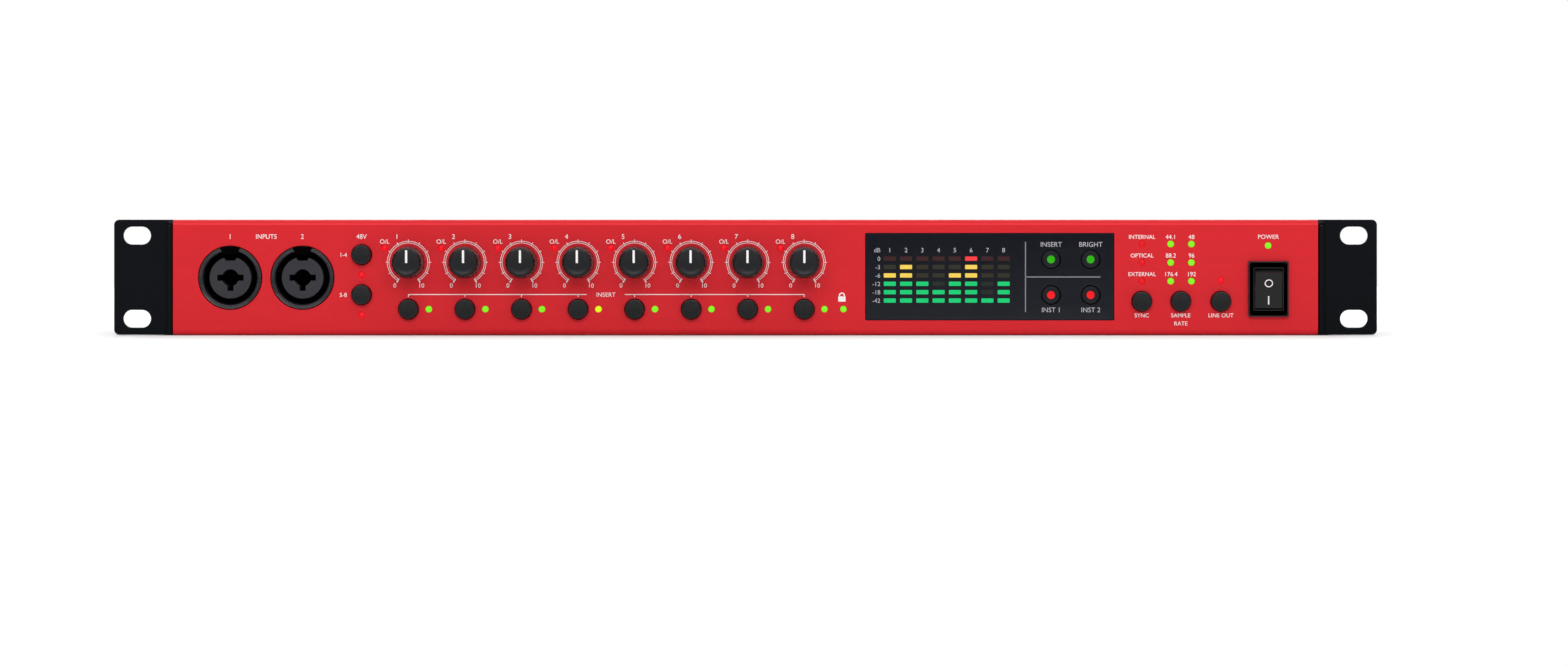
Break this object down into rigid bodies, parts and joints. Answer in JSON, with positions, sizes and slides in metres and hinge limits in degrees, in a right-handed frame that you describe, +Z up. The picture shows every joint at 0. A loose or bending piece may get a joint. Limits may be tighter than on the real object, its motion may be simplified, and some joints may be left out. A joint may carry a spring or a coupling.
{
  "type": "audio interface",
  "caption": "One-unit rack audio interface: red panel with gain knobs, push buttons, meter window and rocker switch, rack ears, and a rear panel of audio, optical and mains sockets.",
  "frame": {"origin": "centre of the underside of the case, on the surface the unit rests on", "axes": "+X to the right as seen from the front, along the width; -Y out of the front panel; +Z up"},
  "size_m": [0.4826, 0.2931, 0.044],
  "materials": {
    "red_panel": "satin anodised red",
    "ear_black": "satin black powder coat",
    "case_sheet": "satin dark grey powder coat",
    "window_black": "gloss smoked acrylic",
    "knob_black": "satin moulded",
    "button_black": "satin moulded",
    "mode_grey": "satin moulded",
    "board_green": "solder mask",
    "switch_black": "fine moulded",
    "connector_black": "moulded",
    "inlet_grey": "moulded",
    "shutter_orange": "moulded",
    "nickel": "satin nickel plate"
  },
  "bodies": {
    "case": {"front_panel": "red_panel", "rack_ear_right": "ear_black", "rack_ear_left": "ear_black", "top_cover": "case_sheet", "chassis": "case_sheet", "meter_window": "window_black", "combo_jack_1": "connector_black", "combo_jack_2": "connector_black", "combo_jack_3": "connector_black", "combo_jack_4": "connector_black", "combo_jack_5": "connector_black", "combo_jack_6": "connector_black", "combo_jack_7": "connector_black", "combo_jack_8": "connector_black", "front_board": "board_green", "main_board": "board_green", "power_supply": "board_green", "power_switch_housing": "switch_black", "insert_jack_3": "connector_black", "insert_jack_4": "connector_black", "insert_jack_5": "connector_black", "insert_jack_6": "connector_black", "insert_jack_7": "connector_black", "insert_jack_8": "connector_black", "insert_jack_pair": "connector_black", "mains_inlet": "inlet_grey", "optical_module_a": "connector_black", "optical_module_b": "connector_black", "bnc_pair": "nickel", "multiway_connector": "nickel"},
    "gain_knob_1_body": {"gain_knob_1": "knob_black"},
    "gain_knob_2_body": {"gain_knob_2": "knob_black"},
    "gain_knob_3_body": {"gain_knob_3": "knob_black"},
    "gain_knob_4_body": {"gain_knob_4": "knob_black"},
    "gain_knob_5_body": {"gain_knob_5": "knob_black"},
    "gain_knob_6_body": {"gain_knob_6": "knob_black"},
    "gain_knob_7_body": {"gain_knob_7": "knob_black"},
    "gain_knob_8_body": {"gain_knob_8": "knob_black"},
    "channel_button_1_body": {"channel_button_1": "button_black"},
    "channel_button_2_body": {"channel_button_2": "button_black"},
    "channel_button_3_body": {"channel_button_3": "button_black"},
    "channel_button_4_body": {"channel_button_4": "button_black"},
    "channel_button_5_body": {"channel_button_5": "button_black"},
    "channel_button_6_body": {"channel_button_6": "button_black"},
    "channel_button_7_body": {"channel_button_7": "button_black"},
    "channel_button_8_body": {"channel_button_8": "button_black"},
    "phantom_button_upper_body": {"phantom_button_upper": "button_black"},
    "phantom_button_lower_body": {"phantom_button_lower": "button_black"},
    "sync_button_body": {"sync_button": "button_black"},
    "sample_rate_button_body": {"sample_rate_button": "button_black"},
    "line_button_body": {"line_button": "button_black"},
    "mode_button_1_body": {"mode_button_1": "mode_grey"},
    "mode_button_2_body": {"mode_button_2": "mode_grey"},
    "mode_button_3_body": {"mode_button_3": "mode_grey"},
    "mode_button_4_body": {"mode_button_4": "mode_grey"},
    "power_rocker_body": {"power_rocker": "switch_black"},
    "optical_shutter_a_output_body": {"optical_shutter_a_output": "shutter_orange"},
    "optical_shutter_a_input_body": {"optical_shutter_a_input": "connector_black"},
    "optical_shutter_b_output_body": {"optical_shutter_b_output": "shutter_orange"},
    "optical_shutter_b_input_body": {"optical_shutter_b_input": "connector_black"}
  },
  "joints": [
    {"name": "gain_knob_1_turn", "type": "hinge", "parent": "case", "child": "gain_knob_1_body", "pos_m": [-0.1287, -0.138, 0.0277], "axis": [0, 1, 0], "range_deg": [-150, 150]},
    {"name": "gain_knob_2_turn", "type": "hinge", "parent": "case", "child": "gain_knob_2_body", "pos_m": [-0.10711, -0.138, 0.0277], "axis": [0, 1, 0], "range_deg": [-150, 150]},
    {"name": "gain_knob_3_turn", "type": "hinge", "parent": "case", "child": "gain_knob_3_body", "pos_m": [-0.08552, -0.138, 0.0277], "axis": [0, 1, 0], "range_deg": [-150, 150]},
    {"name": "gain_knob_4_turn", "type": "hinge", "parent": "case", "child": "gain_knob_4_body", "pos_m": [-0.06393, -0.138, 0.0277], "axis": [0, 1, 0], "range_deg": [-150, 150]},
    {"name": "gain_knob_5_turn", "type": "hinge", "parent": "case", "child": "gain_knob_5_body", "pos_m": [-0.04234, -0.138, 0.0277], "axis": [0, 1, 0], "range_deg": [-150, 150]},
    {"name": "gain_knob_6_turn", "type": "hinge", "parent": "case", "child": "gain_knob_6_body", "pos_m": [-0.02075, -0.138, 0.0277], "axis": [0, 1, 0], "range_deg": [-150, 150]},
    {"name": "gain_knob_7_turn", "type": "hinge", "parent": "case", "child": "gain_knob_7_body", "pos_m": [0.00084, -0.138, 0.0277], "axis": [0, 1, 0], "range_deg": [-150, 150]},
    {"name": "gain_knob_8_turn", "type": "hinge", "parent": "case", "child": "gain_knob_8_body", "pos_m": [0.02243, -0.138, 0.0277], "axis": [0, 1, 0], "range_deg": [-150, 150]},
    {"name": "channel_button_1_press", "type": "slide", "parent": "case", "child": "channel_button_1_body", "axis": [0, 1, 0], "range_m": [0, 0.0015], "stiffness_N_per_m": 300, "springref_m": -0.001},
    {"name": "channel_button_2_press", "type": "slide", "parent": "case", "child": "channel_button_2_body", "axis": [0, 1, 0], "range_m": [0, 0.0015], "stiffness_N_per_m": 300, "springref_m": -0.001},
    {"name": "channel_button_3_press", "type": "slide", "parent": "case", "child": "channel_button_3_body", "axis": [0, 1, 0], "range_m": [0, 0.0015], "stiffness_N_per_m": 300, "springref_m": -0.001},
    {"name": "channel_button_4_press", "type": "slide", "parent": "case", "child": "channel_button_4_body", "axis": [0, 1, 0], "range_m": [0, 0.0015], "stiffness_N_per_m": 300, "springref_m": -0.001},
    {"name": "channel_button_5_press", "type": "slide", "parent": "case", "child": "channel_button_5_body", "axis": [0, 1, 0], "range_m": [0, 0.0015], "stiffness_N_per_m": 300, "springref_m": -0.001},
    {"name": "channel_button_6_press", "type": "slide", "parent": "case", "child": "channel_button_6_body", "axis": [0, 1, 0], "range_m": [0, 0.0015], "stiffness_N_per_m": 300, "springref_m": -0.001},
    {"name": "channel_button_7_press", "type": "slide", "parent": "case", "child": "channel_button_7_body", "axis": [0, 1, 0], "range_m": [0, 0.0015], "stiffness_N_per_m": 300, "springref_m": -0.001},
    {"name": "channel_button_8_press", "type": "slide", "parent": "case", "child": "channel_button_8_body", "axis": [0, 1, 0], "range_m": [0, 0.0015], "stiffness_N_per_m": 300, "springref_m": -0.001},
    {"name": "phantom_button_upper_press", "type": "slide", "parent": "case", "child": "phantom_button_upper_body", "axis": [0, 1, 0], "range_m": [0, 0.0015], "stiffness_N_per_m": 300, "springref_m": -0.001},
    {"name": "phantom_button_lower_press", "type": "slide", "parent": "case", "child": "phantom_button_lower_body", "axis": [0, 1, 0], "range_m": [0, 0.0015], "stiffness_N_per_m": 300, "springref_m": -0.001},
    {"name": "sync_button_press", "type": "slide", "parent": "case", "child": "sync_button_body", "axis": [0, 1, 0], "range_m": [0, 0.0015], "stiffness_N_per_m": 300, "springref_m": -0.001},
    {"name": "sample_rate_button_press", "type": "slide", "parent": "case", "child": "sample_rate_button_body", "axis": [0, 1, 0], "range_m": [0, 0.0015], "stiffness_N_per_m": 300, "springref_m": -0.001},
    {"name": "line_button_press", "type": "slide", "parent": "case", "child": "line_button_body", "axis": [0, 1, 0], "range_m": [0, 0.0015], "stiffness_N_per_m": 300, "springref_m": -0.001},
    {"name": "mode_button_1_press", "type": "slide", "parent": "case", "child": "mode_button_1_body", "axis": [0, 1, 0], "range_m": [0, 0.001], "stiffness_N_per_m": 300, "springref_m": -0.001},
    {"name": "mode_button_2_press", "type": "slide", "parent": "case", "child": "mode_button_2_body", "axis": [0, 1, 0], "range_m": [0, 0.001], "stiffness_N_per_m": 300, "springref_m": -0.001},
    {"name": "mode_button_3_press", "type": "slide", "parent": "case", "child": "mode_button_3_body", "axis": [0, 1, 0], "range_m": [0, 0.001], "stiffness_N_per_m": 300, "springref_m": -0.001},
    {"name": "mode_button_4_press", "type": "slide", "parent": "case", "child": "mode_button_4_body", "axis": [0, 1, 0], "range_m": [0, 0.001], "stiffness_N_per_m": 300, "springref_m": -0.001},
    {"name": "power_rocker_tilt", "type": "hinge", "parent": "case", "child": "power_rocker_body", "pos_m": [0.1996, -0.1377, 0.0175], "axis": [-1, 0, 0], "range_deg": [0, 20]},
    {"name": "optical_shutter_a_output_swing", "type": "hinge", "parent": "case", "child": "optical_shutter_a_output_body", "pos_m": [0.178, 0.12885, 0.02935], "axis": [-1, 0, 0], "range_deg": [0, 80], "stiffness_Nm_per_rad": 0.0004, "springref_deg": -20.05},
    {"name": "optical_shutter_a_input_swing", "type": "hinge", "parent": "case", "child": "optical_shutter_a_input_body", "pos_m": [0.178, 0.12885, 0.01645], "axis": [-1, 0, 0], "range_deg": [0, 80], "stiffness_Nm_per_rad": 0.0004, "springref_deg": -20.05},
    {"name": "optical_shutter_b_output_swing", "type": "hinge", "parent": "case", "child": "optical_shutter_b_output_body", "pos_m": [0.1596, 0.12885, 0.02935], "axis": [-1, 0, 0], "range_deg": [0, 80], "stiffness_Nm_per_rad": 0.0004, "springref_deg": -20.05},
    {"name": "optical_shutter_b_input_swing", "type": "hinge", "parent": "case", "child": "optical_shutter_b_input_body", "pos_m": [0.1596, 0.12885, 0.01645], "axis": [-1, 0, 0], "range_deg": [0, 80], "stiffness_Nm_per_rad": 0.0004, "springref_deg": -20.05}
  ]
}
